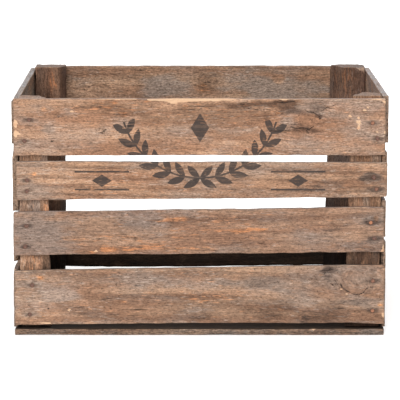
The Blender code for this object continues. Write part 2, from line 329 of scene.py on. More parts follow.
# Corners that are broken off: a point on the break, and the way it faces as (along, across, outwards)
Break = namedtuple("Break", "x z facing")
BREAKS = {
    "front_board_2": [Break(0.2462, 0.1872, (0.75, -0.66, 0.0)), Break(0.2478, 0.2325, (0.8, 0.6, 0.0))],
    "front_board_3": [Break(-0.2478, 0.1645, (-0.8, 0.6, 0.1))],
    "front_board_4": [Break(-0.2468, 0.0150, (-0.7, -0.7, 0.0))],
    "left_board_2": [Break(0.1900, 0.2360, (0.35, 0.65, 0.68))],
    "left_board_3": [Break(0.1900, 0.0990, (0.35, -0.65, -0.68))],
    "left_board_4": [Break(0.1900, 0.0790, (0.35, 0.65, 0.68))],
    "post_back_right": [Break(0.3185, 0.2310, (0.75, 0.38, -0.54))],
    "right_board_2": [Break(-0.1900, 0.2440, (-0.35, 0.65, 0.68))],
}

# What the shader's own colour is multiplied by, for a piece or for the other pieces of its side
TINTS = {
    "front_board_1": (0.86, 0.82, 0.80),
    "front_board_2": (0.82, 0.79, 0.77),
    "front_board_3": (0.66, 0.65, 0.67),
    "front_board_4": (0.75, 0.75, 0.76),
    "back": (0.81, 0.82, 0.83),
    "back_board_1": (0.81, 0.82, 0.83),
    "left": (0.66, 0.68, 0.68),
    "left_board_1": (0.56, 0.60, 0.61),
    "right": (0.76, 0.78, 0.82),
    "right_board_1": (0.86, 0.92, 1.04),
    "floor": (0.80, 0.86, 0.92),
    # floor_board_1's tint is darkened as painted shade under the lowest front board
    "floor_board_1": (0.44, 0.47, 0.50),
    "post_front_left": (0.86, 0.84, 0.84),
    "post_front_right": (0.72, 0.68, 0.65),
    "post_back_left": (0.46, 0.42, 0.42),
    "post_back_right": (0.36, 0.345, 0.37),
}

# How strongly the growth rings show, where that isn't the usual
RINGS = {
    "front_board_1": 0.30,
    "front_board_2": 0.50,
    "post_front_left": 0.60,
}
USUAL_RINGS = 0.45

# Boards from the side of the log, whose rings run along their faces in parallel lines
RIFT_SAWN = ("front_board_2", "back_board_3", "right_board_3", "floor_board_4")

# How strongly the fibres show, where that isn't the usual
FIBRES = {
    "back": 1.50,
    "left": 1.60,
    "right": 1.60,
    "floor": 1.80,
    "post": 1.30,
}
USUAL_FIBRES = 1.10

# The stencil: two leafy sprigs that rise from a common foot with a lozenge between them, and on either
# side of them a small lozenge between two rules
SPRIG_CENTRE = 0.3180
SPRIG_RADIUS = 0.1050
SPRIG_REACH = 1.28          # radians from the foot to the tip
LEAF_STEP = 0.0196
LEAF_LENGTH = 0.0250
LEAF_HALF_WIDTH = 0.0048
LEAF_TILT = radians(38)
STROKE = 0.0011             # half the width of a stencilled line
INK_EDGE = 0.3 * MM         # over which the ink fades out
LOZENGE_HEIGHT = 0.2800
LOZENGE_SIZE = (0.0120, 0.0190)             # half of it, along and up
SMALL_LOZENGE_HEIGHT = 0.2095
SMALL_LOZENGE_SIZE = (0.0130, 0.0080)
RULE_MIDDLE = 0.130                         # the rules and small lozenges, from the crate's middle
RULE_HALF_LENGTH = 0.036
RULE_RISE = 0.0120                          # a rule, above or below the small lozenge's middle


# ---------------------------------------------------------------------------------------- noise

def lattice_value(cells, seed):
    """A repeatable value from -1 to 1 for each whole-numbered cell."""
    mixed = cells @ np.array((374761393, 668265263, 1442695041)) + seed * 1013904223
    mixed = (mixed ^ (mixed >> 13)) * 1274126177
    mixed = (mixed ^ (mixed >> 16)) & 0xFFFFFF
    return mixed / 0x7FFFFF - 1.0


def noise(points, scale, seed, octaves=1):
    """Smooth noise from -1 to 1 at points, whose coordinates are multiplied by scale."""
    total = np.zeros(len(points))
    for octave in range(octaves):
        places = points * (np.array(scale) * 2 ** octave)
        cells = np.floor(places).astype(np.int64)
        part = places - cells
        part = part * part * (3 - 2 * part)
        for corner in np.ndindex(2, 2, 2):
            weight = np.prod(np.where(corner, part, 1 - part), axis=1)
            total += weight * lattice_value(cells + np.array(corner), seed + octave) / 2 ** octave
    return total


def smooth_step(value, low, high):
    share = np.clip((value - low) / (high - low), 0, 1)
    return share * share * (3 - 2 * share)


# ------------------------------------------------------------------------------- surface of a piece

def rounded_outline(corners, radius, spacing):
    """A closed outline round a polygon, its corners rounded, with a point about every spacing."""
    outline = []
    for number, corner in enumerate(corners):
        following = corners[(number + 1) % len(corners)]
        back = (corners[number - 1] - corner).normalized() * radius
        ahead = (following - corner).normalized() * radius
        outline += [corner + back * (1 - t) ** 2 + ahead * t ** 2 for t in (0, 1 / 3, 2 / 3, 1)]
        start, end = corner + ahead, following - ahead
        steps = max(1, round((end - start).length / spacing))
        outline += [start.lerp(end, step / steps) for step in range(1, steps)]
    return np.array(outline)


def loft(name, outline, spine, stations):
    """The closed surface of an outline carried along the first axis. A station is a place along it and how
    far the outline is drawn in there towards its spine, where the surface closes."""
    reach = np.linalg.norm(spine - outline, axis=1)
    rings = []
    for place, inset in stations:
        share = np.minimum(inset / reach, 1.0)[:, None]
        rings.append(np.column_stack((np.full(len(outline), place), outline + (spine - outline) * share)))
    count = len(outline)
    here = np.arange(count)
    beside = np.roll(here, -1)
    first = np.arange(len(stations) - 1)[:, None] * count
    faces = np.stack((first + here, first + beside, first + count + beside, first + count + here), axis=-1)
    mesh = bpy.data.meshes.new(name)
    mesh.from_pydata(np.concatenate(rings).tolist(), [], faces.reshape(-1, 4).tolist())
    weld(mesh)
    return mesh


def weld(mesh):
    bm = bmesh.new()
    bm.from_mesh(mesh)
    bmesh.ops.remove_doubles(bm, verts=bm.verts, dist=0.01 * MM)
    bmesh.ops.recalc_face_normals(bm, faces=bm.faces)
    bm.to_mesh(mesh)
    bm.free()


def sawn_stations(start, end, reach, radius, spacing):
    """Stations from the middle of one sawn end, over its arris, along the piece and over the other end."""
    cap_steps = max(3, round(reach / spacing))
    over_end = [(0.0, inset) for inset in np.linspace(reach, radius, cap_steps)]
    over_end += [(radius * (1 - cos(turn)), radius * (1 - sin(turn))) for turn in (pi / 6, pi / 3, pi / 2)]
    body = np.linspace(start + radius, end - radius, round((end - start) / spacing))[1:-1]
    stations = [(start + depth, inset) for depth, inset in over_end]
    stations += [(place, 0.0) for place in body]
    stations += [(end - depth, inset) for depth, inset in reversed(over_end)]
    return stations


def edge_distance(points, corners, start, end):
    """How far each surface point is from the nearest arris, which is its distance from the second
    nearest side of the piece."""
    depths = [points[:, 0] - start, end - points[:, 0]]
    for number, corner in enumerate(corners):
        side = (corners[(number + 1) % len(corners)] - corner).normalized()
        inward = np.array((-side.y, side.x))
        depths.append((points[:, 1:] - np.array(corner)) @ inward)
    return np.sort(depths, axis=0)[1]


def read_vertices(mesh, field):
    """The place of every vertex, where the field is "co", or its normal, where it is "normal"."""
    values = np.empty(len(mesh.vertices) * 3)
    mesh.vertices.foreach_get(field, values)
    return values.reshape(-1, 3)


def store(mesh, name, values):
    """Store a number or a vector on every vertex."""
    kind, field = ("FLOAT", "value") if values.ndim == 1 else ("FLOAT_VECTOR", "vector")
    attribute = mesh.attributes.new(name, kind, "POINT")
    attribute.data.foreach_set(field, values.astype(np.float32).ravel())


# ---------------------------------------------------------------------------------------- wear

def weather(mesh, corners, start, end, seed):
    """Return a blank's vertices worn inwards: relief along the fibres, saw marks and splintered arrises."""
    points = read_vertices(mesh, "co")
    normals = read_vertices(mesh, "normal")
    edge = edge_distance(points, corners, start, end)
    fibres = 0.5 + 0.5 * noise(points, (14, 240, 240), seed, octaves=2)
    hollows = 0.5 + 0.5 * noise(points, (9, 30, 30), seed + 7)
    saw_marks = 0.5 + 0.5 * np.sin(points[:, 0] * tau / SAW_PITCH + points[:, 1] / (2 * MM))
    relief = FIBRE_RELIEF * fibres + HOLLOW_RELIEF * hollows + SAW_RELIEF * saw_marks
    gone = np.maximum(noise(points, (55, 70, 70), seed + 11, octaves=2) + 0.1, 0)
    splintered = SPLINTER_DEPTH * gone * np.exp(-edge / SPLINTER_DEPTH)
    ragged = RAGGED_DEPTH * abs(noise(points, (40, 420, 420), seed + 13)) * np.exp(-edge / (0.9 * MM))
    return points - normals * (relief + splintered + ragged)[:, None]


def wander(points, half_width, bow, seed):
    """Let the long edges of a board wander a little, as a frame saw leaves them, and bow the lower one."""
    along = points.copy()
    along[:, 1:] = 0
    half_length = np.ptp(points[:, 0]) / 2
    middle = 1 - ((points[:, 0] - points[:, 0].min()) / half_length - 1) ** 2
    top = EDGE_WANDER * noise(along, (16, 1, 1), seed + 17, octaves=4)
    bottom = EDGE_WANDER * noise(along, (16, 1, 1), seed + 19, octaves=4) + bow * middle
    share = np.clip(points[:, 1] / half_width / 2 + 0.5, 0, 1)
    points[:, 1] += top * share ** 2 + bottom * (1 - share) ** 2
    return points


def split_edge(points, split, edges, outer, seed):
    """Split a sliver off between a board's long edge and its face, and return how fresh each point is."""
    sign = 1 if split.edge == "top" else -1
    places, depths = zip(*split.spots)
    depth = np.interp(points[:, 0], places, depths, left=0, right=0)
    depth = depth * (1 + 0.25 * noise(points, (220, 1, 1), seed + 23, octaves=2)) + 1e-9
    edge = edges(points[:, 0])[1 if sign > 0 else 0]
    bite = split.bite * np.minimum(depth / (0.8 * MM), 1)
    length = np.hypot(depth, bite)
    facing_up, facing_out = sign * bite / length, depth / length
    beyond = (points[:, 1] - (edge - sign * depth)) * facing_up + (points[:, 2] - outer) * facing_out
    beyond = np.where(depth > 1e-6, np.maximum(beyond, 0), 0)
    points[:, 1] -= beyond * facing_up
    points[:, 2] -= beyond * facing_out
    return smooth_step(beyond, 0.05 * MM, 0.4 * MM)


def break_corner(points, broken, outer, seed):
    """Break a corner off along a rough plane, and return how fresh each point is."""
    facing = np.array(Vector(broken.facing).normalized())
    rough = BREAK_ROUGHNESS * noise(points, (130, 300, 300), seed + 29, octaves=3)
    beyond = np.maximum((points - np.array((broken.x, broken.z, outer))) @ facing + rough, 0)
    points -= beyond[:, None] * facing
    return smooth_step(beyond, 0.1 * MM, 0.8 * MM)


def on_outer_face(points, outer):
    """1 on the outer face of a piece, and 0 on its sides and its back."""
    return smooth_step(points[:, 2], outer - 3 * MM, outer - 1.5 * MM)


def chip_face(points, chips, outer, seed):
    """Knock chips out of a face, and return how fresh each point is."""
    fresh = np.zeros(len(points))
    on_face = on_outer_face(points, outer)
    rough = 0.7 * noise(points, (320, 420, 420), seed + 43, octaves=2)
    for chip in chips:
        far = np.hypot((points[:, 0] - chip.x) / chip.length, (points[:, 1] - chip.z) / chip.height) * 2
        fresh = np.maximum(fresh, on_face * smooth_step(rough - far, -1.5, -0.8))
    points[:, 2] -= CHIP_DEPTH * fresh
    return fresh


def open_cracks(points, cracks, outer):
    """Sink a groove along each crack. Return how far each point is across the nearest crack, in half
    widths of it and with a sign that tells its sides apart, and whether the point is beside a crack."""
    across = np.full(len(points), 9.0)
    beside = np.zeros(len(points))
    nearest = np.full(len(points), 1.0)
    on_face = 1 - smooth_step(abs(points[:, 2] - outer), 1.5 * MM, 3 * MM)
    for crack in cracks:
        for start, end in zip(crack.route, crack.route[1:]):
            run = np.array(end) - start
            length = np.linalg.norm(run)
            offset = points[:, :2] - start
            place = offset @ run / length
            overshoot = np.maximum(np.maximum(-place, place - length), 0)
            sideways = (offset[:, 1] * run[0] - offset[:, 0] * run[1]) / length
            distance = np.hypot(sideways, overshoot)
            near = (distance < nearest) & (on_face > 0)
            nearest[near] = distance[near]
            across[near] = (np.where(sideways < 0, -distance, distance) / (crack.width / 2))[near]
            share = 1 - smooth_step(distance, 1.8 * MM, 2.6 * MM)
            share *= 1 - smooth_step(overshoot, 0, 1.2 * MM)
            beside[near] = (on_face * share)[near]
    points[:, 2] -= CRACK_DEPTH * np.exp(-(nearest / (0.9 * MM)) ** 2) * beside
    return across, beside


def press_nails(points, spots, outer):
    """Sink the wood round the nails and return how much rust and iron stain each point has."""
    rust = np.zeros(len(points))
    iron = np.zeros(len(points))
    on_face = on_outer_face(points, outer)
    for x, z in spots:
        along, across = points[:, 0] - x, points[:, 1] - z
        near = np.hypot(along, across)
        points[:, 2] -= on_face * DIMPLE_DEPTH * (1 - smooth_step(near, 1.8 * MM, 3.8 * MM))
        rust = np.maximum(rust, on_face * (1 - smooth_step(near, 2.0 * MM, 3.6 * MM)))
        halo = np.exp(-(along / (10 * MM)) ** 2 - (across / (3.4 * MM)) ** 2)
        iron = np.maximum(iron, on_face * halo)
    return rust, iron


def fibre_field(points, knots, rift_sawn, seed):
    """Coordinates along and across the fibres, which part round the knots, the number of the growth ring
    each point is in, and its distance from the middle of the nearest knot, in radii of the knot."""
    fibre = points.copy()
    knot = np.full(len(points), 3.0)
    for x, z, radius in knots:
        along, across = points[:, 0] - x, points[:, 1] - z
        apart = (along / DETOUR_STRETCH) ** 2 + across ** 2
        fibre[:, 1] -= across * radius ** 2 / (apart + DETOUR_EASE * radius ** 2)
        uneven = 1 + KNOT_UNEVENNESS * noise(points, (90, 110, 90), seed + 31, octaves=4)
        knot = np.minimum(knot, np.hypot(along / KNOT_STRETCH, across) * uneven / radius)
    random = np.random.default_rng(seed)
    pith_depth = random.uniform(*PITH_DEPTH)
    pith_offset = random.uniform(-PITH_OFFSET, PITH_OFFSET) + (RIFT_OFFSET if rift_sawn else 0)
    spacing = random.uniform(*RING_SPACING)
    middle = (points[:, 1].min() + points[:, 1].max()) / 2
    meander = 3 * MM * noise(fibre, (4, 14, 14), seed + 37, octaves=2)
    ring = np.hypot(fibre[:, 1] - middle - pith_offset + meander, fibre[:, 2] + pith_depth) + meander
    fibre += random.uniform(1, 9, 3)
    return fibre, ring / spacing, knot


def chance_wear(points, seed):
    """Knots and patches for a piece that has none listed."""
    random = np.random.default_rng(seed + 47)
    low, high = points[:, :2].min(axis=0), points[:, :2].max(axis=0)
    count = random.integers(0, MOST_KNOTS + 1)
    knots = [(*random.uniform(low, high), random.uniform(*KNOT_RADIUS)) for number in range(count)]
    patches = []
    for number in range(CHANCE_PATCHES):
        place, size, look = (random.uniform(*limits) for limits in ((low, high), PATCH_SIZE, PATCH_LOOK))
        patches.append(Patch(*place, *size, *look))
    return knots, patches


def patch_field(points, patches, face, seed):
    """How much paler or darker, and how much warmer or greyer, each point of a face is, or each point of
    the whole board where no face is given."""
    shade = np.zeros(len(points))
    warmth = np.zeros(len(points))
    on_face = 1 if face is None else 1 - smooth_step(abs(points[:, 2] - face), 2 * MM, 4 * MM)
    rough = 0.5 * noise(points, (35, 120, 120), seed + 41, octaves=3)
    for patch in patches:
        along = (points[:, 0] - patch.x) / patch.length * 2
        across = (points[:, 1] - patch.z) / patch.height * 2
        share = on_face * smooth_step(rough - np.hypot(along, across), -1.5, -0.3)
        shade += patch.shade * share
        warmth += patch.warmth * share
    return shade, warmth


# ---------------------------------------------------------------------------------- wooden pieces

def cad_points(node, wall):
    """A CAD node's vertices in the axes of its wall."""
    return np.array([vert.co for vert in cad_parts[node].data.vertices]) @ wall.T


def board_edges(points):
    """A function that gives a board's lower and upper edge at a place along it, from its CAD vertices."""
    start, end = points[:, 0].min(), points[:, 0].max()
    at_start = points[points[:, 0] < start + 3 * MM, 1]
    at_end = points[points[:, 0] > end - 3 * MM, 1]

    def edges(along):
        share = (along - start) / (end - start)
        lower = at_start.min() + (at_end.min() - at_start.min()) * share
        upper = at_start.max() + (at_end.max() - at_start.max()) * share
        return lower, upper

    return edges


def nail_spots(board):
    """Where the heads of a board's nails are, along and across its wall."""
    wall = np.array(WALLS[board.split("_")[0]], float)
    spots = []
    for node in sorted(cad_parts):
        if node.startswith("nail_" + board + "_"):
            low, high = (wall @ np.array(corner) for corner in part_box(node))
            spots.append(tuple((low + high)[:2] / 2))
    return spots


def make_board(node, seed, spacing):
    """A worn board in place of the CAD one."""
    wall = np.array(WALLS[node.split("_")[0]], float)
    cad = cad_points(node, wall)
    start, end = cad[:, 0].min(), cad[:, 0].max()
    inner, outer = cad[:, 2].min(), cad[:, 2].max()
    edges = board_edges(cad)
    half_width = np.mean([edges(place)[1] - edges(place)[0] for place in (start, end)]) / 2
    half_depth = (outer - inner) / 2

    corners = [Vector((x * half_width, y * half_depth)) for x, y in SQUARE]
    outline = rounded_outline(corners, BOARD_ARRIS, spacing)
    spine = np.column_stack((np.clip(outline[:, 0], half_depth - half_width, half_width - half_depth),
                             np.zeros(len(outline))))
    reach = np.linalg.norm(spine - outline, axis=1).max()
    mesh = loft(node + "_worn", outline, spine, sawn_stations(start, end, reach, BOARD_ARRIS, spacing))

    points = weather(mesh, corners, start, end, seed)
    points = wander(points, half_width, BOWS.get(node, 0.0), seed)
    lower, upper = edges(points[:, 0])
    points[:, 1] = (lower + upper) / 2 + points[:, 1] * (upper - lower) / 2 / half_width
    points[:, 2] += outer - half_depth
    fresh = np.zeros(len(points))
    for split in SPLITS.get(node, []):
        fresh = np.maximum(fresh, split_edge(points, split, edges, outer, seed))
    for broken in BREAKS.get(node, []):
        fresh = np.maximum(fresh, BOARD_BREAK_FRESHNESS * break_corner(points, broken, outer, seed))
    fresh = np.maximum(fresh, chip_face(points, CHIPS.get(node, []), outer, seed))
    rust, iron = press_nails(points, nail_spots(node), outer)
    inside = points[:, 2] < (outer + inner) / 2
    face = inner if node.startswith("back") else outer
    return finish_wood(node, mesh, points, wall, face, inside, fresh, rust, iron, seed)


def post_outline(points):
    """The corners of a post's foot, counter-clockwise and starting at the same one for every post, from
    its CAD vertices."""
    foot = [Vector(spot) for spot in points[points[:, 0] < points[:, 0].min() + 2 * MM, 1:]]
    hull = [foot[number] for number in convex_hull_2d(foot)]
    corners = []
    for number, corner in enumerate(hull):
        back = (corner - hull[number - 1]).normalized()
        ahead = (hull[(number + 1) % len(hull)] - corner).normalized()
        if back.dot(ahead) < cos(radians(3)):
            corners.append(corner)
    return corners


def make_post(node, seed):
    """A worn post in place of the CAD one: its foot's outline, made wider or narrower on the way up."""
    wall = np.array(WALLS["post"], float)
    cad = cad_points(node, wall)
    start, end = cad[:, 0].min(), cad[:, 0].max()
    corners = post_outline(cad)
    outline = rounded_outline(corners, POST_ARRIS / 3, COARSE)
    spine = np.tile(np.array(sum(corners, Vector((0, 0))) / len(corners)), (len(outline), 1))
    reach = np.linalg.norm(spine - outline, axis=1).max()
    mesh = loft(node + "_worn", outline, spine, sawn_stations(start, end, reach, POST_ARRIS, COARSE))

    points = weather(mesh, corners, start, end, seed)
    at_top = cad[cad[:, 0] > end - 2 * MM, 1]
    at_foot = cad[cad[:, 0] < start + 2 * MM, 1]
    outer = max(at_foot, key=abs)
    widening = np.ptp(at_top) / np.ptp(at_foot) - 1
    points[:, 1] = outer + (points[:, 1] - outer) * (1 + widening * (points[:, 0] - start) / (end - start))
    fresh = np.zeros(len(points))
    face = points[:, 2].min()
    for broken in BREAKS.get(node, []):
        fresh = np.maximum(fresh, POST_BREAK_FRESHNESS * break_corner(points, broken, face, seed))
    # The inside of a post is what lies nearer to the middle of the crate than the post's own middle
    inside = np.hypot(points[:, 1], points[:, 2]) < np.hypot(*spine[0]) + 2 * MM
    nothing = np.zeros(len(points))
    return finish_wood(node, mesh, points, wall, face, inside, fresh, nothing, nothing, seed)


def varied_tint(tint, seed):
    """A wall's tint, a little lighter or darker and warmer or greyer for one of its boards."""
    random = np.random.default_rng(seed + 53)
    warmer = random.uniform(-TINT_WARMTH, TINT_WARMTH)
    return tuple(np.array(tint) * random.uniform(*TINT_LIGHTNESS) * (1 + warmer, 1, 1 - warmer))


def finish_wood(node, mesh, points, wall, face, inside, fresh, rust, iron, seed):
    """Store what the shader reads, put the piece in its place and make it stand for its CAD node. face is
    how far out the face with the cracks and the listed patches lies."""
    side = node.split("_")[0]
    across_crack, beside_crack = open_cracks(points, CRACKS.get(node, []), face)
    knots, patches, patched_face = KNOTS.get(node, []), PATCHES.get(node), face
    if patches is None:
        knots, patches = chance_wear(points, seed)
        patched_face = None
    fibre, ring, knot = fibre_field(points, knots, node in RIFT_SAWN, seed)
    shade, warmth = patch_field(points, patches, patched_face, seed)
    start, end = points[:, 0].min(), points[:, 0].max()
    end_grain = 1 - smooth_step(np.minimum(points[:, 0] - start, end - points[:, 0]), 0.6 * MM, 1.6 * MM)
    if side == "post":
        end_grain *= POST_END_GRAIN
    mesh.vertices.foreach_set("co", (points @ wall).ravel())
    mesh.update()
    mesh.shade_smooth()
    normals = read_vertices(mesh, "normal")
    upward = normals[:, 2]
    # The upper arrises are drawn paler: partly rubbed wear, partly a painted highlight where light from
    # above catches them
    upper_arris = smooth_step(upward * abs(normals @ wall[2]), 0.15, 0.40)
    fresh = np.maximum(fresh, ARRIS_WEAR_AND_HIGHLIGHT * upper_arris)
    height = read_vertices(mesh, "co")[:, 2]
    store(mesh, "fibre", fibre)
    store(mesh, "ring", ring)
    stain = (shade - IRON_DARKENING * iron, warmth - IRON_GREYING * iron, rust)
    store(mesh, "stain", np.column_stack(stain))
    store(mesh, "wear", np.column_stack((knot, fresh, end_grain)))
    store(mesh, "crack", np.column_stack((across_crack, beside_crack, np.zeros(len(points)))))
    # Painted shade: the inner faces low in the crate, the floor's upper face and the posts' feet are drawn
    # darker
    above_painted_shade = smooth_step(height, PAINTED_SHADE_FROM, PAINTED_SHADE_TO)
    store(mesh, "bleached", BLEACH.get(side, 1.0) * smooth_step(upward, 0.5, 0.9) * above_painted_shade)
    if side == "floor":
        shaded = smooth_step(upward, 0.6, 0.95)
    elif side == "post":
        shaded = np.maximum(inside, 1 - smooth_step(height, FOOT_SHADE_FROM, FOOT_SHADE_TO))
    else:
        shaded = inside
    store(mesh, "painted_shade", shaded * (1 - above_painted_shade))
    piece = bpy.data.objects.new(node + "_worn", mesh)
    bpy.context.scene.collection.objects.link(piece)
    piece["tint"] = TINTS.get(node) or varied_tint(TINTS[side], seed)
    piece["rings"] = RINGS.get(node, USUAL_RINGS)
    piece["fibres"] = FIBRES.get(side, USUAL_FIBRES)
    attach(piece, "root")
    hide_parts(node)
    return piece


# ---------------------------------------------------------------------------------------- nails

# Nails whose heads have rusted bright orange, and how far
BRIGHT_NAILS = {
    "nail_front_board_1_3": 0.5,
    "nail_front_board_2_4": 0.3,
    "nail_front_board_3_3": 0.9,
    "nail_front_board_4_3": 0.3,
    "nail_front_board_4_4": 0.6,
}
NAIL_SIDES = 20
HEAD_RADIUS = 2.3 * MM
SHANK_RADIUS = 1.2 * MM
NAIL_LENGTH = 34 * MM
NAIL_POINT = 5 * MM
PIT_DEPTH = 0.16 * MM
HEAD_UNEVENNESS = 0.07


def nail_mesh(name, seed):
    """A hammered flat-head nail along +X, the middle of its head at the origin."""
    turns = [tau * side / NAIL_SIDES for side in range(NAIL_SIDES)]
    outline = np.array([(HEAD_RADIUS * cos(turn), HEAD_RADIUS * sin(turn)) for turn in turns])
    to_shank = HEAD_RADIUS - SHANK_RADIUS
    shank = [(place, to_shank) for place in np.linspace(NAIL_POINT - NAIL_LENGTH, -1.8 * MM, 9)]
    head = [(-1.3 * MM, to_shank * 0.8), (-1.0 * MM, 0.3 * MM), (-0.8 * MM, 0.0), (-0.45 * MM, 0.0),
            (-0.2 * MM, 0.25 * MM), (-0.08 * MM, 0.8 * MM), (-0.02 * MM, 1.6 * MM), (0.0, HEAD_RADIUS)]
    mesh = loft(name, outline, np.zeros_like(outline), [(-NAIL_LENGTH, HEAD_RADIUS)] + shank + head)
    points = read_vertices(mesh, "co")
    normals = read_vertices(mesh, "normal")
    pits = PIT_DEPTH * (1 + noise(points, (700, 700, 700), seed, octaves=2)) / 2
    uneven = 1 + HEAD_UNEVENNESS * noise(points, (0, 260, 260), seed + 3)
    points -= normals * pits[:, None]
    points[:, 1:] *= uneven[:, None]
    mesh.vertices.foreach_set("co", points.ravel())
    mesh.shade_smooth()
    return mesh


def make_nail(node, seed):
    """A rusted nail in place of the CAD one."""
    wall = np.array(WALLS[node.split("_")[1]], float)
    low, high = (wall @ np.array(corner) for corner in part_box(node))
    head = (low + high) / 2
    head[2] = max(low[2], high[2])
    nail = bpy.data.objects.new(node + "_rusted", nail_mesh(node + "_rusted", seed))
    nail.location = head @ wall
    nail.rotation_euler = Vector(wall[2]).to_track_quat("X", "Z").to_euler()
    bpy.context.scene.collection.objects.link(nail)
    nail["brightness"] = BRIGHT_NAILS.get(node, 0.0)
    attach(nail, "root")
    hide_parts(node)
    return nail


# The nails of the end walls and of the floor: how far their heads are from the ends of the boards, where
# across a board they are, as shares of its width, and how far they are staggered and sunk
END_NAIL_INSET = 20 * MM
FLOOR_NAIL_INSET = 12 * MM
NAIL_SHARES = (0.27, 0.73)
STAGGER = 4 * MM
NAIL_SUNK = 0.2 * MM


def board_nails(board, inset):
    """Two staggered nails at each end of a board, as (along, across, out) in its wall's axes."""
    wall = np.array(WALLS[board.split("_")[0]], float)
    cad = cad_points(board, wall)
    edges = board_edges(cad)
    outer = cad[:, 2].min() if board.startswith("floor") else cad[:, 2].max()
    spots = []
    for end, inward in ((cad[:, 0].min(), 1), (cad[:, 0].max(), -1)):
        lower, upper = edges(end)
        for share, step in zip(NAIL_SHARES, (-STAGGER, STAGGER)):
            spot = np.array((end + inward * (inset + step), lower + share * (upper - lower), outer))
            spots.append(spot @ wall)
    return spots


def hidden_nails():
    """The nails that hold the end boards and the floor, grouped by where they are: their heads and the
    way the heads face."""
    groups = {}
    for board in sorted(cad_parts):
        side = board.split("_")[0]
        if side in ("left", "right"):
            nails = [(spot, WALLS[side][2]) for spot in board_nails(board, END_NAIL_INSET)]
        elif side == "floor":
            nails = [(spot, (0, 0, -1)) for spot in board_nails(board, FLOOR_NAIL_INSET)]
        else:
            continue
        groups.setdefault(side + "_nails", []).extend(nails)
    return groups


def drive_nails(name, nails):
    """Several nails as one piece."""
    bm = bmesh.new()
    for seed, (spot, facing) in enumerate(nails):
        mesh = nail_mesh(name, seed + 50)
        turn = Vector(facing).to_track_quat("X", "Z").to_matrix().to_4x4()
        sunk = Vector(spot) - Vector(facing) * NAIL_SUNK
        mesh.transform(Matrix.Translation(sunk) @ turn)
        bm.from_mesh(mesh)
        bpy.data.meshes.remove(mesh)
    joined = bpy.data.meshes.new(name)
    bm.to_mesh(joined)
    bm.free()
    joined.shade_smooth()
    piece = bpy.data.objects.new(name, joined)
    bpy.context.scene.collection.objects.link(piece)
    piece["brightness"] = 0.0
    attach(piece, "root")
    return piece


# ------------------------------------------------------------------------------------ materials

class Nodes:
    """Writes a material's nodes as plain calls. A value is a number, a colour or another node's output."""

    def __init__(self, name):
        self.material = bpy.data.materials.new(name)
        self.material.use_nodes = True
        self.tree = self.material.node_tree
        self.shader = self.tree.nodes["Principled BSDF"]

    def feed(self, socket, value):
        if isinstance(value, bpy.types.NodeSocket):
            self.tree.links.new(value, socket)
        else:
            socket.default_value = value

    def add(self, kind, output, inputs, **settings):
        node = self.tree.nodes.new("ShaderNode" + kind)
        for setting, value in settings.items():
            setattr(node, setting, value)
        for socket, value in inputs.items():
            self.feed(node.inputs[socket], value)
        return node.outputs[output]

    def attribute(self, name, output="Vector", kind="GEOMETRY"):
        return self.add("Attribute", output, {}, attribute_name=name, attribute_type=kind)

    def split(self, vector):
        """The three parts of a vector."""
        x = self.add("SeparateXYZ", "X", {"Vector": vector})
        return x, x.node.outputs["Y"], x.node.outputs["Z"]

    def math(self, operation, first, second=0.0):
        return self.add("Math", "Value", {0: first, 1: second}, operation=operation)

    def plus(self, first, second):
        return self.math("ADD", first, second)

    def minus(self, first, second):
        return self.math("SUBTRACT", first, second)

    def times(self, first, second):
        return self.math("MULTIPLY", first, second)

    def scaled(self, value, amount, base=0.0):
        """value times amount, plus base."""
        return self.add("Math", "Value", {0: value, 1: amount, 2: base}, operation="MULTIPLY_ADD")

    def ramp(self, value, low, high):
        """0 below low, 1 above high, and smooth between; low may be the greater."""
        inputs = {"Value": value, "From Min": low, "From Max": high}
        return self.add("MapRange", "Result", inputs, interpolation_type="SMOOTHSTEP")

    def noise(self, vector, scale, detail=2.0, roughness=0.5):
        stretched = self.add("VectorMath", "Vector", {0: vector, 1: scale}, operation="MULTIPLY")
        inputs = {"Vector": stretched, "Scale": 1.0, "Detail": detail, "Roughness": roughness}
        return self.add("TexNoise", "Fac", inputs)

    def mix(self, share, first, second, blend="MIX"):
        inputs = {0: share, 6: first, 7: second}
        return self.add("Mix", 2, inputs, data_type="RGBA", blend_type=blend)

    def finish(self, colour, roughness, height, depth):
        self.feed(self.shader.inputs["Base Color"], colour)
        self.feed(self.shader.inputs["Roughness"], roughness)
        bump = self.add("Bump", "Normal", {"Height": height, "Strength": 1.0, "Distance": depth})
        self.feed(self.shader.inputs["Normal"], bump)
        return self.material


# Linear colours. STAIN, WORN, RUSTY_CAST and the painted shade of the crate's inside are what the colour
# under them is multiplied by.
PALE = (0.430, 0.262, 0.165, 1)
TAN = (0.310, 0.168, 0.100, 1)
BROWN = (0.105, 0.055, 0.034, 1)
GREY = (0.285, 0.220, 0.178, 1)
STAIN = (0.330, 0.310, 0.310, 1)
WORN = (1.380, 1.380, 1.380, 1)
RUSTY_CAST = (1.380, 1.100, 0.820, 1)
LINT = (0.500, 0.390, 0.310, 1)
SILVER = (0.315, 0.300, 0.300, 1)
FRESH_WOOD_AND_HIGHLIGHT = (0.640, 0.430, 0.270, 1)
ORANGE = (0.560, 0.300, 0.170, 1)
KNOT = (0.070, 0.036, 0.022, 1)
# Near black: the painted shade inside cracks and checks, and the dark streaks of end grain
CRACK = (0.018, 0.012, 0.009, 1)
END_GRAIN = (0.240, 0.158, 0.108, 1)
RUST = (0.140, 0.060, 0.038, 1)
BRIGHT_RUST = (0.520, 0.210, 0.095, 1)
LIGHT_RUST = (0.260, 0.130, 0.085, 1)
DARK_IRON = (0.070, 0.042, 0.038, 1)
INK = (0.036, 0.028, 0.025, 1)
# The painted shade inside the crate
INTERIOR_SHADE = (0.1076, 0.0931, 0.0834, 1)


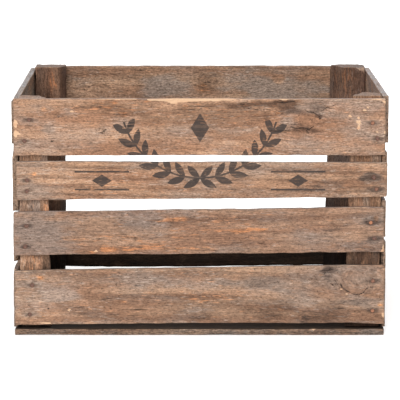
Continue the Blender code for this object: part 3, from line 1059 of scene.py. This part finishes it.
def sprig_mask(nodes, x, z):
    """The sprigs: leaves on both sides of a stem that follows an arc, mirrored about the middle."""
    side = nodes.math("ABSOLUTE", x)
    down = nodes.minus(SPRIG_CENTRE, z)
    square = nodes.plus(nodes.times(side, side), nodes.times(down, down))
    across = nodes.minus(nodes.math("POWER", square, 0.5), SPRIG_RADIUS)
    off_stem = nodes.math("ABSOLUTE", across)
    turn = nodes.math("ARCTAN2", side, down)
    steps = nodes.math("DIVIDE", nodes.times(turn, SPRIG_RADIUS), LEAF_STEP)
    in_step = nodes.times(nodes.math("FRACT", steps), LEAF_STEP)
    leaf_along = nodes.scaled(in_step, cos(LEAF_TILT), nodes.times(off_stem, sin(LEAF_TILT)))
    leaf_across = nodes.scaled(in_step, -sin(LEAF_TILT), nodes.times(off_stem, cos(LEAF_TILT)))
    share = nodes.math("DIVIDE", leaf_along, LEAF_LENGTH)
    swell = nodes.times(share, nodes.minus(1.0, share))
    half_width = nodes.times(swell, 4 * LEAF_HALF_WIDTH)
    inside = nodes.minus(half_width, nodes.math("ABSOLUTE", leaf_across))
    leaf = nodes.ramp(inside, 0.0, 0.4 * MM)
    stem = nodes.ramp(off_stem, STROKE + INK_EDGE, STROKE)
    within = nodes.ramp(turn, SPRIG_REACH + 0.005, SPRIG_REACH)
    return nodes.times(nodes.math("MAXIMUM", leaf, stem), within)


def offsets(nodes, x, z, middle, height):
    """How far a place is along and across from a mark and from its mirror image, whichever is nearer."""
    along = nodes.math("ABSOLUTE", nodes.minus(nodes.math("ABSOLUTE", x), middle))
    across = nodes.math("ABSOLUTE", nodes.minus(z, height))
    return along, across


def rule_mask(nodes, x, z, middle, height):
    along, across = offsets(nodes, x, z, middle, height)
    inside_along = nodes.ramp(along, RULE_HALF_LENGTH + INK_EDGE, RULE_HALF_LENGTH)
    inside_across = nodes.ramp(across, STROKE + INK_EDGE, STROKE)
    return nodes.times(inside_along, inside_across)


def lozenge_mask(nodes, x, z, middle, height, size):
    along, across = offsets(nodes, x, z, middle, height)
    total = nodes.plus(nodes.math("DIVIDE", along, size[0]), nodes.math("DIVIDE", across, size[1]))
    return nodes.ramp(total, 1.05, 1.0)


def stencil_mask(nodes):
    """The whole stencil, on the boards' outer faces only."""
    x, y, z = nodes.split(nodes.add("TexCoord", "Object", {}))
    shapes = [
        sprig_mask(nodes, x, z),
        lozenge_mask(nodes, x, z, 0.0, LOZENGE_HEIGHT, LOZENGE_SIZE),
        lozenge_mask(nodes, x, z, RULE_MIDDLE, SMALL_LOZENGE_HEIGHT, SMALL_LOZENGE_SIZE),
        rule_mask(nodes, x, z, RULE_MIDDLE, SMALL_LOZENGE_HEIGHT + RULE_RISE),
        rule_mask(nodes, x, z, RULE_MIDDLE, SMALL_LOZENGE_HEIGHT - RULE_RISE),
    ]
    mask = shapes[0]
    for shape in shapes[1:]:
        mask = nodes.math("MAXIMUM", mask, shape)
    return nodes.times(mask, nodes.ramp(y, cad_low.y + 5 * MM, cad_low.y + 3 * MM))


class Wood(Nodes):
    """Old softwood. The layers of its look share what is stored on the mesh and the noises set up here,
    which are drawn out along the fibres."""

    def __init__(self, name):
        super().__init__(name)
        self.fibre = self.attribute("fibre")
        self.shade, self.warmth, self.rust = self.split(self.attribute("stain"))
        self.knot, self.fresh, self.end_grain = self.split(self.attribute("wear"))
        self.streaks = self.noise(self.fibre, (16, 380, 380), 4, 0.6)
        self.fuzz = self.noise(self.fibre, (110, 950, 950), 2, 0.6)
        self.grit = self.noise(self.fibre, (300, 600, 600), 3, 0.7)
        self.mottle = self.noise(self.fibre, (36, 100, 100), 5, 0.65)
        self.film = self.noise(self.fibre, (13, 38, 38), 4, 0.6)
        self.dashes = self.noise(self.fibre, (75, 460, 460), 2)
        self.latewood = self.ring_lines()
        self.flecks = self.rubbed_flecks()
        self.lightness = self.fibre_lightness()

    def ring_lines(self):
        """The latewood of the growth rings. It darkens slowly, ends sharply and is lost inside a knot."""
        phase = self.math("FRACT", self.attribute("ring", "Fac"))
        lines = self.times(self.ramp(phase, 0.45, 0.86), self.ramp(phase, 1.0, 0.93))
        return self.times(lines, self.ramp(self.knot, 0.9, 1.5))

    def rubbed_flecks(self):
        """Short flecks rubbed down to orange wood, more of them in warm patches."""
        flecks = self.plus(self.dashes, self.scaled(self.warmth, 0.09))
        flecks = self.plus(flecks, self.scaled(self.mottle, 0.25, -0.125))
        return self.ramp(flecks, 0.64, 0.72)

    def fibre_lightness(self):
        """How much lighter or darker than the wood round it each fibre is, as a factor."""
        relief = self.plus(self.scaled(self.fuzz, 1.3, -0.65), self.scaled(self.grit, 1.7, -0.85))
        strength = self.attribute("fibres", "Fac", "OBJECT")
        return self.plus(self.times(relief, strength), 1.0)

    def cast(self, share, colour, factor):
        """The colour multiplied by a factor, over a share of it."""
        return self.mix(share, colour, self.mix(1.0, colour, factor, "MULTIPLY"))

    def blotched(self, value):
        """A stored value with its border made blotchy."""
        return self.plus(value, self.scaled(self.mottle, 0.8, -0.40))

    def bare(self):
        """Bands, growth rings and streaks, with a grey film, flecks, lint and specks over them."""
        bands = self.noise(self.fibre, (6, 75, 75), 3)
        colour = self.mix(self.ramp(bands, 0.36, 0.64), TAN, PALE)
        rings = self.times(self.latewood, self.attribute("rings", "Fac", "OBJECT"))
        rings = self.times(rings, self.ramp(self.film, 0.20, 0.55))
        colour = self.mix(rings, colour, BROWN)
        colour = self.mix(self.scaled(self.ramp(self.streaks, 0.50, 0.72), 0.55), colour, BROWN)
        greyness = self.plus(self.film, self.scaled(self.mottle, 0.5))
        greyness = self.ramp(self.minus(greyness, self.scaled(self.warmth, 0.35)), 0.62, 1.02)
        colour = self.mix(self.scaled(greyness, 0.70), colour, GREY)
        colour = self.mix(self.scaled(self.flecks, 0.55), colour, ORANGE)
        lint = self.noise(self.fibre, (90, 520, 520), 2)
        lint = self.plus(lint, self.scaled(self.film, 0.35, -0.18))
        colour = self.mix(self.scaled(self.ramp(lint, 0.60, 0.70), 0.45), colour, LINT)
        specks = self.ramp(self.noise(self.fibre, (320, 620, 620), 2), 0.57, 0.70)
        colour = self.mix(self.scaled(specks, 0.65), colour, BROWN)
        return self.mix(1.0, colour, self.lightness, "MULTIPLY")

    def patchy(self, colour):
        """The stored patches, darker, paler or redder than the wood round them."""
        uneven = self.scaled(self.mottle, 0.9, -0.45)
        darker = self.ramp(self.scaled(self.shade, -1.0, uneven), 0.05, 1.1)
        colour = self.cast(darker, colour, STAIN)
        paler = self.ramp(self.plus(self.shade, uneven), 0.05, 1.1)
        colour = self.cast(paler, colour, WORN)
        redder = self.ramp(self.plus(self.warmth, self.scaled(self.dashes, 4.5, -2.25)), 0.8, 2.6)
        return self.cast(redder, colour, RUSTY_CAST)

    def knotty(self, colour):
        """The rings inside each knot, and its dark rim."""
        knot_ring = self.math("FRACT", self.times(self.knot, 5.5))
        knot_colour = self.mix(self.ramp(knot_ring, 0.20, 0.85), TAN, BROWN)
        inside = self.times(self.ramp(self.knot, 1.05, 0.70), self.ramp(self.streaks, 0.30, 0.60))
        colour = self.mix(self.scaled(inside, 0.36), colour, knot_colour)
        rim = self.ramp(self.math("ABSOLUTE", self.minus(self.knot, 0.95)), 0.12, 0.02)
        rim = self.times(rim, self.ramp(self.mottle, 0.40, 0.60))
        return self.mix(self.scaled(rim, 0.30), colour, KNOT)

    def silvered(self, colour):
        """Silvery wood where the sun has bleached it."""
        share = self.scaled(self.ramp(self.mottle, 0.35, 0.65), 0.5, 0.4)
        share = self.times(self.attribute("bleached", "Fac"), share)
        return self.mix(share, colour, self.mix(1.0, SILVER, self.lightness, "MULTIPLY"))

    def checks(self):
        """Fine checks along the fibres, and the stored cracks with their lips made rough, drawn dark as
        painted shade inside them.
        """
        path = self.minus(self.noise(self.fibre, (4, 150, 150), 3), 0.5)
        fine = self.ramp(self.math("ABSOLUTE", path), 0.008, 0.002)
        fine = self.times(fine, self.ramp(self.mottle, 0.54, 0.64))
        across_crack, beside_crack = self.split(self.attribute("crack"))[:2]
        gape = self.plus(self.math("ABSOLUTE", across_crack), self.scaled(self.grit, 5.0, -2.3))
        cracks = self.times(self.ramp(gape, 1.6, 0.6), self.ramp(beside_crack, 0.2, 0.7))
        return self.math("MAXIMUM", self.scaled(fine, 0.75), self.scaled(cracks, 0.90))

    def broken(self, colour):
        """End grain, and fresh wood where something has broken away or rubbed; along the upper arrises this
        is partly a painted highlight.
        """
        end_colour = self.mix(self.ramp(self.streaks, 0.42, 0.68), END_GRAIN, CRACK)
        colour = self.mix(self.scaled(self.end_grain, 0.75), colour, end_colour)
        share = self.ramp(self.blotched(self.fresh), 0.35, 0.65)
        fresh_colour = self.mix(self.ramp(self.streaks, 0.40, 0.75), FRESH_WOOD_AND_HIGHLIGHT, ORANGE)
        return self.mix(self.scaled(share, 0.75), colour, fresh_colour)

    def inked(self, colour):
        """The stencil's ink, thin where the streaks and flecks are."""
        kept = self.ramp(self.plus(self.streaks, self.scaled(self.flecks, 0.5)), 0.70, 0.52)
        share = self.times(stencil_mask(self), self.scaled(kept, 0.33, 0.60))
        return self.mix(share, colour, INK)

    def rusted_and_shaded(self, colour):
        """Rust round the nails, and painted shade low inside the crate and round the posts' feet."""
        share = self.ramp(self.blotched(self.rust), 0.15, 0.70)
        rust_colour = self.mix(self.ramp(self.grit, 0.40, 0.60), RUST, KNOT)
        colour = self.mix(self.scaled(share, 0.80), colour, rust_colour)
        shade_share = self.times(self.attribute("painted_shade", "Fac"), self.scaled(self.mottle, 0.6, 0.7))
        return self.cast(shade_share, colour, INTERIOR_SHADE)

    def height(self, checks):
        height = self.plus(self.scaled(self.streaks, 0.9), self.scaled(self.fuzz, 0.6))
        height = self.plus(height, self.scaled(self.latewood, 0.25))
        return self.minus(height, self.scaled(checks, 1.6))


def weathered_wood(name, stencilled=False):
    """Old softwood, one layer of its look over another."""
    wood = Wood(name)
    colour = wood.knotty(wood.patchy(wood.bare()))
    colour = wood.mix(1.0, colour, wood.attribute("tint", "Color", "OBJECT"), "MULTIPLY")
    checks = wood.checks()
    # The checks and cracks are drawn near black: painted shade inside the grooves
    colour = wood.mix(checks, wood.silvered(colour), CRACK)
    colour = wood.broken(colour)
    if stencilled:
        colour = wood.inked(colour)
    colour = wood.rusted_and_shaded(colour)
    wood.shader.inputs["Specular IOR Level"].default_value = 0.25
    return wood.finish(colour, wood.scaled(wood.mottle, 0.20, 0.76), wood.height(checks), 0.6 * MM)


def rusted_iron():
    """Nail iron: dark scale with orange rust in its pits."""
    nodes = Nodes("rusted_iron")
    place = nodes.add("TexCoord", "Object", {})
    brightness = nodes.attribute("brightness", "Fac", "OBJECT")
    blotches = nodes.noise(place, (420, 420, 420), 4, 0.6)
    pits = nodes.noise(place, (1600, 1600, 1600), 3, 0.6)
    colour = nodes.mix(nodes.ramp(blotches, 0.40, 0.62), DARK_IRON, RUST)
    colour = nodes.mix(nodes.ramp(pits, 0.50, 0.68), colour, LIGHT_RUST)
    bright = nodes.times(brightness, nodes.ramp(pits, 0.35, 0.55))
    colour = nodes.mix(bright, colour, BRIGHT_RUST)
    nodes.shader.inputs["Metallic"].default_value = 0.15
    return nodes.finish(colour, nodes.scaled(pits, 0.3, 0.6), pits, 0.25 * MM)


# ---------------------------------------------------------------------------------------- stage

CAMERA_HEIGHT = 0.7149
CAMERA_DISTANCE = 3.249         # in front of the crate's front face
CAMERA_PITCH = radians(9.288)
CAMERA_LENS = 223.34
CAMERA_SENSOR = 36
FLOOR_REACH = 30                # of the studio's floor, from the crate to its edges
PAPER = (0.9, 0.9, 0.9, 1)
PAPER_GLOW = 0.25
SKY_STRENGTH = 0.45

# How each light is turned from shining straight down, its strength, and how wide it is in the sky
Light = namedtuple("Light", "turn strength spread")
LIGHTS = {
    "key_light": Light((radians(60), 0, radians(-13)), 2.9, radians(40)),
    "fill_light": Light((radians(50), 0, radians(150)), 1.0, radians(60)),
    "top_light": Light((0, 0, 0), 0.8, radians(70)),
}


def add_camera():
    data = bpy.data.cameras.new("camera")
    data.sensor_width = CAMERA_SENSOR
    data.lens = CAMERA_LENS
    camera = bpy.data.objects.new("camera", data)
    camera.location = (0, cad_low.y - CAMERA_DISTANCE, CAMERA_HEIGHT)
    camera.rotation_euler = (pi / 2 - CAMERA_PITCH, 0, 0)
    bpy.context.scene.collection.objects.link(camera)
    bpy.context.scene.camera = camera


def add_light(name, light):
    data = bpy.data.lights.new(name, "SUN")
    data.energy = light.strength
    data.angle = light.spread
    sun = bpy.data.objects.new(name, data)
    sun.rotation_euler = light.turn
    bpy.context.scene.collection.objects.link(sun)


def add_sky():
    world = bpy.data.worlds.new("studio")
    world.use_nodes = True
    background = world.node_tree.nodes["Background"]
    background.inputs["Color"].default_value = (1, 1, 1, 1)
    background.inputs["Strength"].default_value = SKY_STRENGTH
    bpy.context.scene.world = world


def add_floor():
    corners = [(x * FLOOR_REACH, y * FLOOR_REACH, 0) for x, y in SQUARE]
    mesh = bpy.data.meshes.new("studio_floor")
    mesh.from_pydata(corners, [], [(0, 1, 2, 3)])
    floor = bpy.data.objects.new("studio_floor", mesh)
    bpy.context.scene.collection.objects.link(floor)
    paper = bpy.data.materials.new("studio_paper")
    paper.use_nodes = True
    shader = paper.node_tree.nodes["Principled BSDF"]
    shader.inputs["Base Color"].default_value = PAPER
    shader.inputs["Roughness"].default_value = 0.9
    shader.inputs["Emission Color"].default_value = (1, 1, 1, 1)
    shader.inputs["Emission Strength"].default_value = PAPER_GLOW
    mesh.materials.append(paper)


def set_stage():
    add_camera()
    add_floor()
    add_sky()
    for name, light in LIGHTS.items():
        add_light(name, light)
    bpy.context.scene.view_settings.view_transform = "Standard"


# ---------------------------------------------------------------------------------------- build

def build_crate():
    plain = weathered_wood("weathered_wood")
    stencilled = weathered_wood("stencilled_wood", stencilled=True)
    wooden = sorted(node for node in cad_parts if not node.startswith("nail_"))
    for number, node in enumerate(wooden, start=1):
        # The seeds are far apart, because each piece's noises also use the numbers after its seed
        seed = number * 100
        if node.startswith("post"):
            piece = make_post(node, seed)
        else:
            piece = make_board(node, seed, FINE if node.startswith("front") else COARSE)
        piece.data.materials.append(stencilled if node in ("front_board_1", "front_board_2") else plain)

    rusty = rusted_iron()
    for seed, node in enumerate(sorted(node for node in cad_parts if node.startswith("nail_"))):
        nail = make_nail(node, seed)
        nail.data.materials.append(rusty)
    for name, spots in hidden_nails().items():
        nails = drive_nails(name, spots)
        nails.data.materials.append(rusty)


set_stage()
build_crate()
